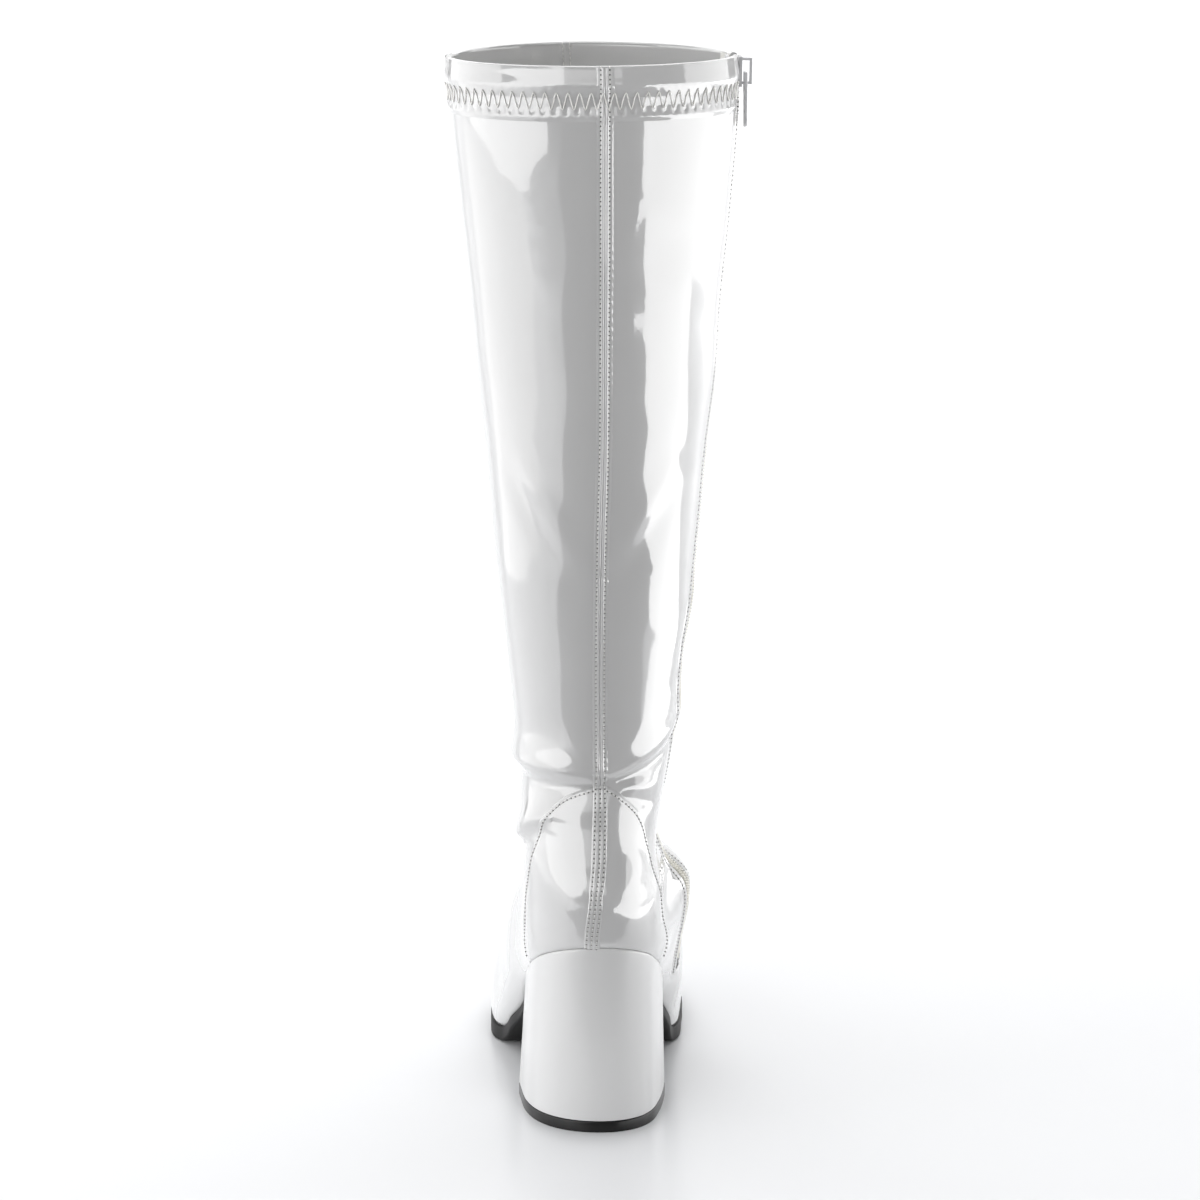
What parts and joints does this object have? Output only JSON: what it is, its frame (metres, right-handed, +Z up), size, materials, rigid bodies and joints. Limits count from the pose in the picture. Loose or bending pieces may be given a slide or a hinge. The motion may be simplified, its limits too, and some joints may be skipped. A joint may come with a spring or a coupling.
{
  "type": "go go boot",
  "caption": "Knee-high patent go-go boot with a block heel, thin outsole, open lined shaft and a side zip whose pull tab swings.",
  "frame": {"origin": "on the floor, on the flat bottom of the heel lift, under the middle of the heel's length", "axes": "+X from the heel to the toe, +Y to the wearer's left, which is the outer side of this left boot, +Z up the shaft; the zip is on the -Y side"},
  "size_m": [0.2511, 0.1223, 0.4373],
  "materials": {
    "patent": "white patent, high gloss",
    "lining": "pale grey woven lining",
    "rubber": "black, satin edge",
    "tape": "ivory woven tape",
    "coil": "ivory nylon coil",
    "metal": "plated zip metal"
  },
  "bodies": {
    "boot": {"upper": "patent", "insole": "lining", "outsole": "rubber", "heel_block": "patent", "heel_lift": "rubber", "zip_tape_front": "tape", "zip_tape_back": "tape", "zip_coil": "coil", "zip_bottom_stop": "metal", "zip_slider": "metal"},
    "pull_tab": {"zip_pull": "metal"}
  },
  "joints": [
    {"name": "pull_hinge", "type": "hinge", "parent": "boot", "child": "pull_tab", "pos_m": [0.00924, -0.06157, 0.42925], "axis": [-0.9993, -0.0365, 0], "range_deg": [-3, 165]}
  ]
}
